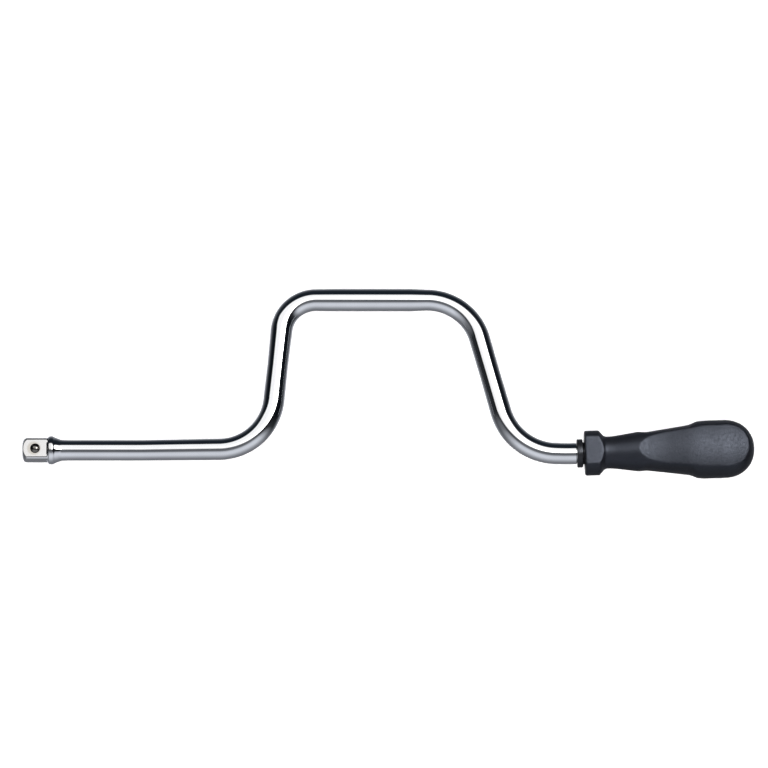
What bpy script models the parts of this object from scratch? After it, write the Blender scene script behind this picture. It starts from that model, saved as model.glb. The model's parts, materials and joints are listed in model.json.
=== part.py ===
# Speed brace: a cranked bar with a square drive at one end and a free-turning handle at the other.
# The drive turns about X, the crank rises along +Y, and the tool lies flat with +Z up.
# The bar's tail and the handle on it lean a little, and cross the drive's axis inside the grip.
# The origin is the centre of the square drive's end face. All lengths are metres.

import math

import bmesh
import bpy
from mathutils import Vector

MM = 0.001

# Square drive
SQUARE_ACROSS_FLATS = 12.7 * MM
SQUARE_CORNER_RADIUS = 2.0 * MM
SQUARE_LENGTH = 14.6 * MM
SQUARE_END_FLAT_RADIUS = 3.6 * MM
SQUARE_END_ROUND = 4.0 * MM
SQUARE_END_LIP = 0.25 * MM

# Upset collar behind the square
COLLAR_LIP = 0.1 * MM
COLLAR_WIDTH = 4.6 * MM
COLLAR_EDGE = 0.9 * MM
COLLAR_CONE_LENGTH = 3.2 * MM
COLLAR_REACH = 1.6 * MM

# Bent bar
BAR_DIAMETER = 12.2 * MM
SHANK_LENGTH = 115.9 * MM
THROW = 90.8 * MM
GRIP_LENGTH = 65.8 * MM
TAIL_LENGTH = 11.75 * MM
NEAR_LEG_ANGLE = math.radians(84.1)
FAR_LEG_ANGLE = math.radians(74.3)
TAIL_TILT = math.radians(1.8)
TAIL_CROSSING = 56.5 * MM
NEAR_FOOT_RADIUS = 32.5 * MM
NEAR_TOP_RADIUS = 20.5 * MM
FAR_TOP_RADIUS = 32.5 * MM
FAR_FOOT_RADIUS = 32.5 * MM

# Journal inside the handle
SHOULDER_HEIGHT = 1.1 * MM
SHOULDER_CHAMFER = 0.4 * MM
GROOVE_DEPTH = 0.6 * MM
JOURNAL_CHAMFER = 0.8 * MM

# Clearances
SEAT_GAP = 0.3 * MM
RUNNING_GAP = 0.2 * MM
WASHER_BORE_GAP = 0.4 * MM

# Detent
BALL_DIAMETER = 6.35 * MM
BALL_STAND_OUT = 1.3 * MM
BALL_FROM_END = 7.7 * MM
BALL_TRAVEL = 1.2 * MM
DETENT_LIP_DEPTH = 0.3 * MM
DETENT_LIP_HEIGHT = 0.6 * MM
DETENT_DISH_MARGIN = 0.6 * MM
SPRING_WIRE = 0.7 * MM
SPRING_MEAN_DIAMETER = 4.2 * MM
SPRING_TURNS = 3.5
SPRING_SPARE_TRAVEL = 0.7 * MM

# Handle fittings
FLANGE_THICKNESS = 4.2 * MM
FLANGE_HEIGHT = 1.7 * MM
FLANGE_CHAMFER = 0.4 * MM
FRONT_BUSH_WALL = 1.4 * MM
FRONT_BUSH_LENGTH = 21.0 * MM
WASHER_THICKNESS = 1.0 * MM
RING_THICKNESS = 1.0 * MM
RING_OPENING = math.radians(50.0)
REAR_BUSH_WALL = 1.2 * MM
REAR_BUSH_LENGTH = 18.0 * MM
END_DISC_THICKNESS = 1.5 * MM
JOURNAL_FREE_LENGTH = 22.0 * MM
FRONT_BORE_SPARE = 5.5 * MM

# Handle moulding, lengths measured from the front face of its collar
HANDLE_COLLAR_DIAMETER = 26.3 * MM
HANDLE_COLLAR_WIDTH = 8.8 * MM
HANDLE_COLLAR_CHAMFER = 0.6 * MM
HANDLE_COLLAR_FLAT_DEPTH = 2.75 * MM
NECK_DIAMETER = 18.8 * MM
NECK_LENGTH = 4.0 * MM
NECK_CONE_LENGTH = 3.8 * MM
GRIP_CONE_LENGTH = 52.5 * MM
BELLY_DIAMETER = 34.1 * MM
BELLY_LENGTH = 12.5 * MM
DOME_LENGTH = 18.7 * MM
DOME_FULLNESS = 2.15
NECK_FOOT_REACH = 1.2 * MM
NECK_TOP_REACH = 3.0 * MM
BELLY_REACH = 5.0 * MM

# The two broad flats of the grip, cut in from its round surface and slightly crowned across
FLAT_WAIST_DEPTH = 1.27 * MM
FLAT_BELLY_DEPTH = 3.83 * MM
FLAT_END_DROP = 2.35 * MM
FLAT_START = 32.0 * MM
FLAT_RUN_IN = 4.3 * MM
FLAT_WAIST_LENGTH = 9.7 * MM
FLAT_RISE_LENGTH = 18.5 * MM
FLAT_BELLY_LENGTH = 20.0 * MM
FLAT_END_BEFORE_TIP = 3.1 * MM
FLAT_RUN_IN_REACH = 1.0 * MM
FLAT_REACH = 6.0 * MM
FLAT_CROWN_RADIUS = 57.0 * MM

# The shallow finger hollows on the grip's two sides, cut in from its cone and rounded across
HOLLOW_START = 31.6 * MM
HOLLOW_RUN_IN = 5.0 * MM
HOLLOW_LENGTH = 25.3 * MM
HOLLOW_RAMP = 5.0 * MM
HOLLOW_FRONT_DEPTH = 1.0 * MM
HOLLOW_REAR_DEPTH = 1.2 * MM
HOLLOW_REACH = 1.5 * MM
HOLLOW_CROWN_RADIUS = 1.08 * BELLY_DIAMETER / 2

# Facet counts
RING_POINTS_PER_CORNER = 8
RING_POINTS = 4 * RING_POINTS_PER_CORNER
BEND_STEP = math.radians(6.0)
HANDLE_SEGMENTS = 64
DETENT_SEGMENTS = 32
BALL_RINGS = 16
SPRING_POINTS_PER_TURN = 10
DOME_STEPS = 8
END_STEPS = 8
CROWN_STEPS = 12
BLEND_STEPS = 4
SHARP_ANGLE = math.radians(32.0)
CUTTER_MARGIN = 5.0 * MM
CROWN_SPARE = 0.3 * MM

# Sizes that follow from the ones above
square_half = SQUARE_ACROSS_FLATS / 2
bar_radius = BAR_DIAMETER / 2
journal_radius = bar_radius - SHOULDER_HEIGHT
groove_radius = journal_radius - GROOVE_DEPTH
square_corner_reach = math.sqrt(2) * (square_half - SQUARE_CORNER_RADIUS) + SQUARE_CORNER_RADIUS
collar_radius = square_corner_reach + COLLAR_LIP
bush_bore_radius = journal_radius + RUNNING_GAP
front_bush_radius = bush_bore_radius + FRONT_BUSH_WALL
rear_bush_radius = bush_bore_radius + REAR_BUSH_WALL
front_bore_radius = front_bush_radius + SEAT_GAP
rear_bore_radius = rear_bush_radius + SEAT_GAP
neck_radius = NECK_DIAMETER / 2
belly_radius = BELLY_DIAMETER / 2
handle_collar_radius = HANDLE_COLLAR_DIAMETER / 2
ball_radius = BALL_DIAMETER / 2
ball_depth = ball_radius - BALL_STAND_OUT
detent_hole_radius = ball_radius + RUNNING_GAP
spring_radius = SPRING_MEAN_DIAMETER / 2
spring_reach = ball_radius + SPRING_WIRE / 2 + RUNNING_GAP
spring_top_depth = ball_depth + math.sqrt(spring_reach ** 2 - spring_radius ** 2)
spring_closed_length = SPRING_TURNS * SPRING_WIRE + SPRING_SPARE_TRAVEL
spring_foot_depth = spring_top_depth + BALL_TRAVEL + spring_closed_length
detent_hole_depth = spring_foot_depth + SPRING_WIRE / 2 + SEAT_GAP

# Stations along the tail and the handle, from the front face of the handle's collar
flange_start = -SEAT_GAP - FLANGE_THICKNESS
shoulder_start = flange_start - SEAT_GAP
tail_start = shoulder_start - TAIL_LENGTH
bush_end = FRONT_BUSH_LENGTH - SEAT_GAP
washer_start = bush_end + SEAT_GAP
washer_end = washer_start + WASHER_THICKNESS
ring_start = washer_end + SEAT_GAP
ring_end = ring_start + RING_THICKNESS
groove_start = ring_start - RUNNING_GAP
groove_end = ring_end + RUNNING_GAP
rear_bush_start = ring_end + JOURNAL_FREE_LENGTH
rear_bush_end = rear_bush_start + REAR_BUSH_LENGTH
disc_start = rear_bush_end + SEAT_GAP
disc_end = disc_start + END_DISC_THICKNESS
bore_bottom = disc_end + SEAT_GAP
front_bore_end = ring_end + FRONT_BORE_SPARE
collar_end = HANDLE_COLLAR_WIDTH
neck_start = collar_end + NECK_CONE_LENGTH
cone_start = neck_start + NECK_LENGTH
cone_end = cone_start + GRIP_CONE_LENGTH
belly_end = cone_end + BELLY_LENGTH
handle_length = belly_end + DOME_LENGTH

# Length of each leg between its bends, and how far along X the leg with its bends carries the bar
near_bends = NEAR_FOOT_RADIUS + NEAR_TOP_RADIUS
near_straight = (THROW - near_bends * (1 - math.cos(NEAR_LEG_ANGLE))) / math.sin(NEAR_LEG_ANGLE)
near_run = near_bends * math.sin(NEAR_LEG_ANGLE) + near_straight * math.cos(NEAR_LEG_ANGLE)
far_bends = FAR_FOOT_RADIUS + FAR_TOP_RADIUS
far_bends_run = far_bends * math.sin(FAR_LEG_ANGLE) + FAR_FOOT_RADIUS * math.sin(TAIL_TILT)
far_top_drop = FAR_TOP_RADIUS * (1 - math.cos(FAR_LEG_ANGLE))
far_foot_drop = FAR_FOOT_RADIUS * (math.cos(TAIL_TILT) - math.cos(FAR_LEG_ANGLE))
tail_drop = (TAIL_CROSSING - tail_start) * math.sin(TAIL_TILT)
far_straight = (THROW + tail_drop - far_top_drop - far_foot_drop) / math.sin(FAR_LEG_ANGLE)
far_run = far_bends_run + far_straight * math.cos(FAR_LEG_ANGLE)

# The tail's direction, and the point on it where the front face of the handle's collar stands
tail_direction = Vector((math.cos(TAIL_TILT), math.sin(TAIL_TILT)))
tail_foot = Vector((SHANK_LENGTH + near_run + GRIP_LENGTH + far_run, -tail_drop))
handle_point = tail_foot - tail_start * tail_direction


def clear_scene():
    for obj in list(bpy.data.objects):
        bpy.data.objects.remove(obj, do_unlink=True)


def make_material(name, colour, roughness, metallic):
    material = bpy.data.materials.new(name)
    material.use_nodes = True
    shader = material.node_tree.nodes["Principled BSDF"]
    shader.inputs["Base Color"].default_value = (*colour, 1.0)
    shader.inputs["Roughness"].default_value = roughness
    shader.inputs["Metallic"].default_value = metallic
    return material


def make_axis(name, location, turn=0):
    empty = bpy.data.objects.new(name, None)
    empty.location = location
    empty.rotation_euler.z = turn
    bpy.context.collection.objects.link(empty)
    return empty


def make_object(name, mesh_builder, material=None, parent=None, location=(0, 0, 0)):
    mesh = bpy.data.meshes.new(name)
    bmesh.ops.recalc_face_normals(mesh_builder, faces=mesh_builder.faces)
    mesh_builder.to_mesh(mesh)
    mesh_builder.free()
    mesh.shade_smooth()
    mesh.set_sharp_from_angle(angle=SHARP_ANGLE)
    if material:
        mesh.materials.append(material)
    obj = bpy.data.objects.new(name, mesh)
    obj.parent = parent
    obj.location = location
    bpy.context.collection.objects.link(obj)
    return obj


def cut(body, cutter):
    cutter.hide_render = True
    cutter.display_type = "WIRE"
    modifier = body.modifiers.new("cut by " + cutter.name, "BOOLEAN")
    modifier.operation = "DIFFERENCE"
    modifier.solver = "EXACT"
    modifier.object = cutter


def loft(rings, close_along=False):
    """Skin a row of point rings. Closed along, the last ring joins the first; open, the ends are flat."""
    mesh_builder = bmesh.new()
    rows = [[mesh_builder.verts.new(point) for point in ring] for ring in rings]
    count = len(rows[0])
    row_pairs = list(zip(rows, rows[1:]))
    if close_along:
        row_pairs.append((rows[-1], rows[0]))
    for row, following in row_pairs:
        for i in range(count):
            j = (i + 1) % count
            mesh_builder.faces.new((row[i], row[j], following[j], following[i]))
    if not close_along:
        mesh_builder.faces.new(rows[0])
        mesh_builder.faces.new(rows[-1])
    return mesh_builder


def circle(x, radius, count):
    """Points round the X axis at one station."""
    points = []
    for i in range(count):
        angle = 2 * math.pi * (i + 0.5) / count
        points.append(Vector((x, radius * math.cos(angle), radius * math.sin(angle))))
    return points


def turned_solid(profile, count):
    """A solid of revolution about X from (x, radius) stations, with flat ends."""
    return loft([circle(x, radius, count) for x, radius in profile])


def turned_ring(profile, count):
    """A hollow of revolution about X: the profile is a closed outline clear of the axis."""
    return loft([circle(x, radius, count) for x, radius in profile], close_along=True)


def rounded(corners, steps):
    """An outline through (point, reach) corners, each rounded over its reach along both sides."""
    outline = []
    for i, (corner, reach) in enumerate(corners):
        corner = Vector(corner)
        if not reach:
            outline.append(corner)
            continue
        back = Vector(corners[i - 1][0]) - corner
        ahead = Vector(corners[i + 1][0]) - corner
        start = corner + back.normalized() * min(reach, back.length / 2)
        stop = corner + ahead.normalized() * min(reach, ahead.length / 2)
        for step in range(steps + 1):
            t = step / steps
            outline.append((1 - t) ** 2 * start + 2 * t * (1 - t) * corner + t ** 2 * stop)
    return outline


def rounded_square(x, half, corner_radius):
    """Points of a square drive's section, matched one to one with a ring of RING_POINTS."""
    points = []
    centre = half - corner_radius
    for corner in range(4):
        start = corner * math.pi / 2
        middle = start + math.pi / 4
        reach = centre * math.sqrt(2)
        for i in range(RING_POINTS_PER_CORNER):
            angle = start + math.pi / 2 * i / (RING_POINTS_PER_CORNER - 1)
            y = reach * math.cos(middle) + corner_radius * math.cos(angle)
            z = reach * math.sin(middle) + corner_radius * math.sin(angle)
            points.append(Vector((x, y, z)))
    return points


def drive_rings():
    """The square, the collar and the cone down to the bar."""
    rings = []
    for x in (0, SQUARE_LENGTH):
        rings.append(rounded_square(x, square_half, SQUARE_CORNER_RADIUS))
    collar_start = SQUARE_LENGTH + COLLAR_EDGE
    collar_stop = SQUARE_LENGTH + COLLAR_WIDTH
    cone_stop = collar_stop + COLLAR_CONE_LENGTH
    crown = (
        ((collar_start, collar_radius), 0),
        ((collar_stop, collar_radius), COLLAR_REACH),
        ((cone_stop, bar_radius), COLLAR_REACH),
        ((cone_stop + COLLAR_CONE_LENGTH, bar_radius), 0),
    )
    rings += [circle(x, radius, RING_POINTS) for x, radius in rounded(crown, BLEND_STEPS)]
    return rings


def make_end_cutter():
    """Cutter that turns the square's end to a flat disc with a round shoulder out past its corners."""
    reach = square_corner_reach + SQUARE_END_LIP
    outline = [(-CUTTER_MARGIN, SQUARE_END_FLAT_RADIUS)]
    for i in range(END_STEPS + 1):
        turn = math.pi / 2 * i / END_STEPS
        x = SQUARE_END_ROUND * (1 - math.cos(turn))
        outline.append((x, SQUARE_END_FLAT_RADIUS + (reach - SQUARE_END_FLAT_RADIUS) * math.sin(turn)))
    outline.append((SQUARE_END_ROUND, reach + CUTTER_MARGIN))
    outline.append((-CUTTER_MARGIN, reach + CUTTER_MARGIN))
    return make_object("square_end_cutter", turned_ring(outline, RING_POINTS))


def bar_path():
    """Centre points and headings of the bent bar, from the end of the shank to the shoulder."""
    point = Vector((SHANK_LENGTH, 0))
    heading = 0.0
    stations = [(point.copy(), heading)]
    moves = (
        ("bend", NEAR_LEG_ANGLE, NEAR_FOOT_RADIUS),
        ("straight", near_straight, None),
        ("bend", -NEAR_LEG_ANGLE, NEAR_TOP_RADIUS),
        ("straight", GRIP_LENGTH, None),
        ("bend", -FAR_LEG_ANGLE, FAR_TOP_RADIUS),
        ("straight", far_straight, None),
        ("bend", FAR_LEG_ANGLE + TAIL_TILT, FAR_FOOT_RADIUS),
        ("straight", TAIL_LENGTH - SHOULDER_CHAMFER, None),
    )
    for kind, amount, radius in moves:
        if kind == "straight":
            point = point + amount * Vector((math.cos(heading), math.sin(heading)))
            stations.append((point.copy(), heading))
            continue
        side = math.copysign(1, amount)
        centre = point + side * radius * Vector((-math.sin(heading), math.cos(heading)))
        steps = math.ceil(abs(amount) / BEND_STEP)
        for _ in range(steps):
            heading += amount / steps
            point = centre + side * radius * Vector((math.sin(heading), -math.cos(heading)))
            stations.append((point.copy(), heading))
    return stations


def bar_ring(point, heading, radius=bar_radius):
    """A ring of the bar square to its centreline, lined up with the rings of the drive."""
    across = Vector((-math.sin(heading), math.cos(heading), 0))
    centre = Vector((point.x, point.y, 0))
    ring = []
    for i in range(RING_POINTS):
        angle = 2 * math.pi * (i + 0.5) / RING_POINTS
        ring.append(centre + radius * (math.cos(angle) * across + Vector((0, 0, math.sin(angle)))))
    return ring


def journal_rings():
    """The shoulder, the journal with its ring groove, and its chamfered end."""
    profile = (
        (shoulder_start, bar_radius - SHOULDER_CHAMFER),
        (shoulder_start, journal_radius),
        (groove_start, journal_radius),
        (groove_start, groove_radius),
        (groove_end, groove_radius),
        (groove_end, journal_radius),
        (rear_bush_end - JOURNAL_CHAMFER, journal_radius),
        (rear_bush_end, journal_radius - JOURNAL_CHAMFER),
    )
    rings = []
    for station, radius in profile:
        rings.append(bar_ring(handle_point + station * tail_direction, TAIL_TILT, radius))
    return rings


def make_crank_bar(material, detent_axis):
    rings = drive_rings()
    rings += [bar_ring(point, heading) for point, heading in bar_path()]
    rings += journal_rings()
    bar = make_object("crank_bar", loft(rings), material)
    cut(bar, make_end_cutter())
    cut(bar, make_detent_hole(detent_axis))


def upright(profile, count):
    """A solid of revolution about Z from (height, radius) stations, in ascending height."""
    rings = []
    for height, radius in profile:
        rings.append([Vector((point.y, point.z, height)) for point in circle(0, radius, count)])
    return loft(rings)


def ball_radius_at(depth):
    """Radius of the ball's section at a depth below the square's face."""
    return math.sqrt(ball_radius ** 2 - (ball_depth - depth) ** 2)


def make_detent_hole(detent_axis):
    """Cutter for the blind hole, its staked lip and the shallow dish round the lip."""
    lip_radius = ball_radius_at(DETENT_LIP_DEPTH) + RUNNING_GAP
    dish_radius = detent_hole_radius + DETENT_DISH_MARGIN
    profile = (
        (-detent_hole_depth, detent_hole_radius),
        (-DETENT_LIP_DEPTH - DETENT_LIP_HEIGHT, detent_hole_radius),
        (-DETENT_LIP_DEPTH, lip_radius),
        (0, dish_radius),
        (CUTTER_MARGIN, dish_radius),
    )
    return make_object("detent_hole_cutter", upright(profile, DETENT_SEGMENTS), parent=detent_axis)


def make_detent_ball(material, detent_axis):
    mesh_builder = bmesh.new()
    bmesh.ops.create_uvsphere(
        mesh_builder, u_segments=DETENT_SEGMENTS, v_segments=BALL_RINGS, radius=ball_radius
    )
    make_object("detent_ball", mesh_builder, material, detent_axis, (0, 0, -ball_depth))


def make_detent_spring(material, detent_axis):
    """A compression spring between the hole's bottom and the underside of the ball."""
    count = round(SPRING_TURNS * SPRING_POINTS_PER_TURN) + 1
    points = []
    for i in range(count):
        t = i / (count - 1)
        angle = 2 * math.pi * SPRING_TURNS * t
        depth = spring_foot_depth + (spring_top_depth - spring_foot_depth) * t
        points.append(Vector((spring_radius * math.cos(angle), spring_radius * math.sin(angle), -depth)))
    print_least_gap(points)
    curve = bpy.data.curves.new("detent_spring", "CURVE")
    curve.dimensions = "3D"
    curve.bevel_depth = SPRING_WIRE / 2
    curve.bevel_resolution = 1
    curve.use_fill_caps = True
    curve.materials.append(material)
    spline = curve.splines.new("POLY")
    spline.points.add(count - 1)
    for spline_point, point in zip(spline.points, points):
        spline_point.co = (*point, 1)
    spring = bpy.data.objects.new("detent_spring", curve)
    spring.parent = detent_axis
    bpy.context.collection.objects.link(spring)


def print_least_gap(points):
    """The spring's least gap between one turn and the next, along its centreline."""
    apart = SPRING_POINTS_PER_TURN // 2
    gaps = []
    for i, point in enumerate(points):
        for other in points[i + apart:]:
            gaps.append((point - other).length - SPRING_WIRE)
    print("detent_spring least gap between turns: %.2f mm" % (min(gaps) / MM))


def make_front_bush(material, handle_axis):
    flange_radius = front_bush_radius + FLANGE_HEIGHT
    outline = (
        (flange_start, bush_bore_radius),
        (flange_start, flange_radius - FLANGE_CHAMFER),
        (flange_start + FLANGE_CHAMFER, flange_radius),
        (-SEAT_GAP, flange_radius),
        (-SEAT_GAP, front_bush_radius),
        (bush_end, front_bush_radius),
        (bush_end, bush_bore_radius),
    )
    make_object("front_bush", turned_ring(outline, RING_POINTS), material, handle_axis)


def sleeve(start, stop, inner, outer):
    outline = ((start, inner), (start, outer), (stop, outer), (stop, inner))
    return turned_ring(outline, RING_POINTS)


def make_thrust_washer(material, handle_axis):
    washer = sleeve(washer_start, washer_end, bush_bore_radius, front_bore_radius - WASHER_BORE_GAP)
    make_object("thrust_washer", washer, material, handle_axis)


def make_rear_bush(material, handle_axis):
    bush = sleeve(rear_bush_start, rear_bush_end, bush_bore_radius, rear_bush_radius)
    make_object("rear_bush", bush, material, handle_axis)


def make_retaining_ring(material, handle_axis):
    """An open snap ring, its gap facing up."""
    inner = groove_radius + RUNNING_GAP
    outer = front_bore_radius - WASHER_BORE_GAP - RUNNING_GAP
    sections = []
    for i in range(RING_POINTS + 1):
        angle = math.pi / 2 + RING_OPENING / 2 + (2 * math.pi - RING_OPENING) * i / RING_POINTS
        direction = Vector((0, math.cos(angle), math.sin(angle)))
        corners = ((ring_start, inner), (ring_end, inner), (ring_end, outer), (ring_start, outer))
        sections.append([Vector((x, 0, 0)) + radius * direction for x, radius in corners])
    make_object("retaining_ring", loft(sections), material, handle_axis)


def make_end_disc(material, handle_axis):
    profile = ((disc_start, rear_bush_radius), (disc_end, rear_bush_radius))
    make_object("end_disc", turned_solid(profile, RING_POINTS), material, handle_axis)


def handle_profile():
    """Outline of the moulding before its flats are cut, from the collar to the tip."""
    corners = (
        ((0, handle_collar_radius - HANDLE_COLLAR_CHAMFER), 0),
        ((HANDLE_COLLAR_CHAMFER, handle_collar_radius), 0),
        ((collar_end, handle_collar_radius), 0),
        ((neck_start, neck_radius), NECK_FOOT_REACH),
        ((cone_start, neck_radius), NECK_TOP_REACH),
        ((cone_end, belly_radius), BELLY_REACH),
        ((belly_end, belly_radius), 0),
    )
    profile = rounded(corners, BLEND_STEPS)
    for i in range(1, DOME_STEPS + 1):
        turn = math.pi / 2 * i / (DOME_STEPS + 0.5)
        x = belly_end + DOME_LENGTH * math.sin(turn) ** (2 / DOME_FULLNESS)
        profile.append((x, belly_radius * math.cos(turn) ** (2 / DOME_FULLNESS)))
    return profile


def crown_points(crown_radius):
    """(across, fall) points over the grip's width. A floor with no crown needs only its two ends."""
    reach = belly_radius + CROWN_SPARE
    if crown_radius is None:
        return [(-reach, 0), (reach, 0)]
    half_turn = math.asin(reach / crown_radius)
    turns = [half_turn * (2 * i / CROWN_STEPS - 1) for i in range(CROWN_STEPS + 1)]
    return [(crown_radius * math.sin(turn), crown_radius * (1 - math.cos(turn))) for turn in turns]


def make_side_cutter(name, floor_outline, top, along_z, crown_radius, parent):
    """A cutter whose floor follows (x, distance from the axis) points and arches across to its crown."""
    first_x = floor_outline[0][0]
    last_x = floor_outline[-1][0]
    rings = []
    for across, fall in crown_points(crown_radius):
        crowned = [(x, away - math.copysign(fall, top)) for x, away in floor_outline]
        outline = crowned + [(last_x, top), (first_x, top)]
        if along_z:
            rings.append([Vector((x, across, away)) for x, away in outline])
        else:
            rings.append([Vector((x, away, across)) for x, away in outline])
    return make_object(name, loft(rings), parent=parent)


def mirrored(outline):
    return [(x, -away) for x, away in outline]


def cone_radius(x):
    """Radius of the grip's cone at a station."""
    return neck_radius + (belly_radius - neck_radius) * (x - cone_start) / GRIP_CONE_LENGTH


def flat_outline():
    """Floor of a broad flat: a run in, a level waist, a rise to the belly and a fall to the end."""
    waist_start = FLAT_START + FLAT_RUN_IN
    waist = cone_radius(waist_start) - FLAT_WAIST_DEPTH
    belly = belly_radius - FLAT_BELLY_DEPTH
    waist_stop = waist_start + FLAT_WAIST_LENGTH
    rise_stop = waist_stop + FLAT_RISE_LENGTH
    fall_start = rise_stop + FLAT_BELLY_LENGTH
    stop = handle_length - FLAT_END_BEFORE_TIP
    run_in = (cone_radius(FLAT_START) - waist) / FLAT_RUN_IN
    past_tip = handle_length + CUTTER_MARGIN
    floor_past_tip = belly - FLAT_END_DROP * (past_tip - fall_start) / (stop - fall_start)
    corners = (
        ((FLAT_START - CUTTER_MARGIN, cone_radius(FLAT_START) + run_in * CUTTER_MARGIN), 0),
        ((waist_start, waist), FLAT_RUN_IN_REACH),
        ((waist_stop, waist), FLAT_REACH),
        ((rise_stop, belly), FLAT_REACH),
        ((fall_start, belly), FLAT_REACH),
        ((past_tip, floor_past_tip), 0),
    )
    return rounded(corners, BLEND_STEPS)


def hollow_outline():
    """Floor of a side hollow: a run in, a long straight slope and a ramp up to the belly."""
    floor_start = HOLLOW_START + HOLLOW_RUN_IN
    floor_stop = floor_start + HOLLOW_LENGTH
    ramp_stop = floor_stop + HOLLOW_RAMP
    front = cone_radius(floor_start) - HOLLOW_FRONT_DEPTH
    rear = cone_radius(floor_stop) - HOLLOW_REAR_DEPTH
    run_in = (cone_radius(HOLLOW_START) - front) / HOLLOW_RUN_IN
    climb = (cone_radius(ramp_stop) - rear) / HOLLOW_RAMP
    corners = (
        ((HOLLOW_START - CUTTER_MARGIN, cone_radius(HOLLOW_START) + run_in * CUTTER_MARGIN), 0),
        ((floor_start, front), HOLLOW_REACH),
        ((floor_stop, rear), HOLLOW_REACH),
        ((ramp_stop + CUTTER_MARGIN, cone_radius(ramp_stop) + climb * CUTTER_MARGIN), 0),
    )
    return rounded(corners, BLEND_STEPS)


def make_handle_grip(material, handle_axis):
    body = turned_solid(handle_profile(), HANDLE_SEGMENTS)
    grip = make_object("handle_grip", body, material, handle_axis)
    away = max(belly_radius, handle_collar_radius) + CUTTER_MARGIN
    collar_flat = handle_collar_radius - HANDLE_COLLAR_FLAT_DEPTH
    collar_floor = [(-CUTTER_MARGIN, collar_flat), (neck_start, collar_flat)]
    floors = (
        ("flat_cutter", flat_outline(), True, FLAT_CROWN_RADIUS),
        ("collar_cutter", collar_floor, True, None),
        ("hollow_cutter", hollow_outline(), False, HOLLOW_CROWN_RADIUS),
    )
    for side, top, mirror in (("upper_", away, list), ("lower_", -away, mirrored)):
        for name, floor, along_z, crown in floors:
            cut(grip, make_side_cutter(side + name, mirror(floor), top, along_z, crown, handle_axis))
    bore = (
        (-CUTTER_MARGIN, front_bore_radius),
        (front_bore_end, front_bore_radius),
        (front_bore_end, rear_bore_radius),
        (bore_bottom, rear_bore_radius),
    )
    cut(grip, make_object("bore_cutter", turned_solid(bore, RING_POINTS), parent=handle_axis))


def build():
    clear_scene()
    chrome = make_material("chrome", (0.80, 0.81, 0.83), 0.08, 1.0)
    ball_steel = make_material("ball_steel", (0.62, 0.62, 0.62), 0.18, 1.0)
    spring_steel = make_material("spring_steel", (0.45, 0.45, 0.46), 0.3, 1.0)
    washer_steel = make_material("washer_steel", (0.55, 0.55, 0.56), 0.35, 1.0)
    black_acetal = make_material("black_acetal", (0.012, 0.012, 0.014), 0.35, 0.0)
    handle_black = make_material("handle_black", (0.030, 0.032, 0.040), 0.45, 0.0)
    detent_axis = make_axis("detent_axis", (BALL_FROM_END, 0, square_half))
    handle_axis = make_axis("handle_axis", (*handle_point, 0), TAIL_TILT)
    make_crank_bar(chrome, detent_axis)
    make_detent_ball(ball_steel, detent_axis)
    make_detent_spring(spring_steel, detent_axis)
    make_front_bush(black_acetal, handle_axis)
    make_thrust_washer(washer_steel, handle_axis)
    make_retaining_ring(spring_steel, handle_axis)
    make_rear_bush(black_acetal, handle_axis)
    make_end_disc(washer_steel, handle_axis)
    make_handle_grip(handle_black, handle_axis)


build()
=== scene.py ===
import json
import math
import bpy
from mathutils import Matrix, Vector


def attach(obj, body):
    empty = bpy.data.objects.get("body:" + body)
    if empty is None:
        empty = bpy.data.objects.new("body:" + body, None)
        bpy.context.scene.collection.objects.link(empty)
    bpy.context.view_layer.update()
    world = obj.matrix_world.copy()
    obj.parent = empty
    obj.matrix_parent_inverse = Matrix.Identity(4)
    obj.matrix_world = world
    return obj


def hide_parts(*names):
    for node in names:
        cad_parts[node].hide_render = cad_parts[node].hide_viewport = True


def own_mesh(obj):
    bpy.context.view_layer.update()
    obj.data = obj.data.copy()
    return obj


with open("model.json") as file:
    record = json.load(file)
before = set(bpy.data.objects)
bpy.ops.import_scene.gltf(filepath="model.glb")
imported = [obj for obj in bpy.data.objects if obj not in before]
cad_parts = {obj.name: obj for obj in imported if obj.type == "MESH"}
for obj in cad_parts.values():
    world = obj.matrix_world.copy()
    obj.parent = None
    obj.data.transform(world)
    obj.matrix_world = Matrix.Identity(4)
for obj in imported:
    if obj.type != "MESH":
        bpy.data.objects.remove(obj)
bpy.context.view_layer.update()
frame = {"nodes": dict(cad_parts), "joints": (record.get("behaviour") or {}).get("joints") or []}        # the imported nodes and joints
mm = 0.001

spinJoint = next(j for j in frame["joints"] if j["name"] == "handle_spin")
handlePoint = Vector(spinJoint["pos_m"])
handleTilt = math.atan2(spinJoint["axis"][1], spinJoint["axis"][0])


# small helpers for modelling

def deselectAll():
    bpy.ops.object.select_all(action='DESELECT')


def makeActive(piece):
    deselectAll()
    piece.select_set(True)
    bpy.context.view_layer.objects.active = piece


def enterEdit(piece):
    makeActive(piece)
    bpy.ops.object.mode_set(mode='EDIT')


def leaveEdit():
    bpy.ops.object.mode_set(mode='OBJECT')


def applyTransform(piece):
    makeActive(piece)
    bpy.ops.object.transform_apply(location=True, rotation=True, scale=True)


def applyModifier(piece, kind, **settings):
    makeActive(piece)
    added = piece.modifiers.new(kind.lower(), kind)
    for key, value in settings.items():
        setattr(added, key, value)
    bpy.ops.object.modifier_apply(modifier=added.name)


def cutWith(piece, cutter, operation='DIFFERENCE'):
    applyModifier(piece, 'BOOLEAN', object=cutter, operation=operation, solver='EXACT')
    bpy.data.objects.remove(cutter, do_unlink=True)


def tidyMesh(piece, distance=1e-6):
    enterEdit(piece)
    bpy.ops.mesh.select_all(action='SELECT')
    bpy.ops.mesh.remove_doubles(threshold=distance)
    bpy.ops.mesh.normals_make_consistent(inside=False)
    leaveEdit()


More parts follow.
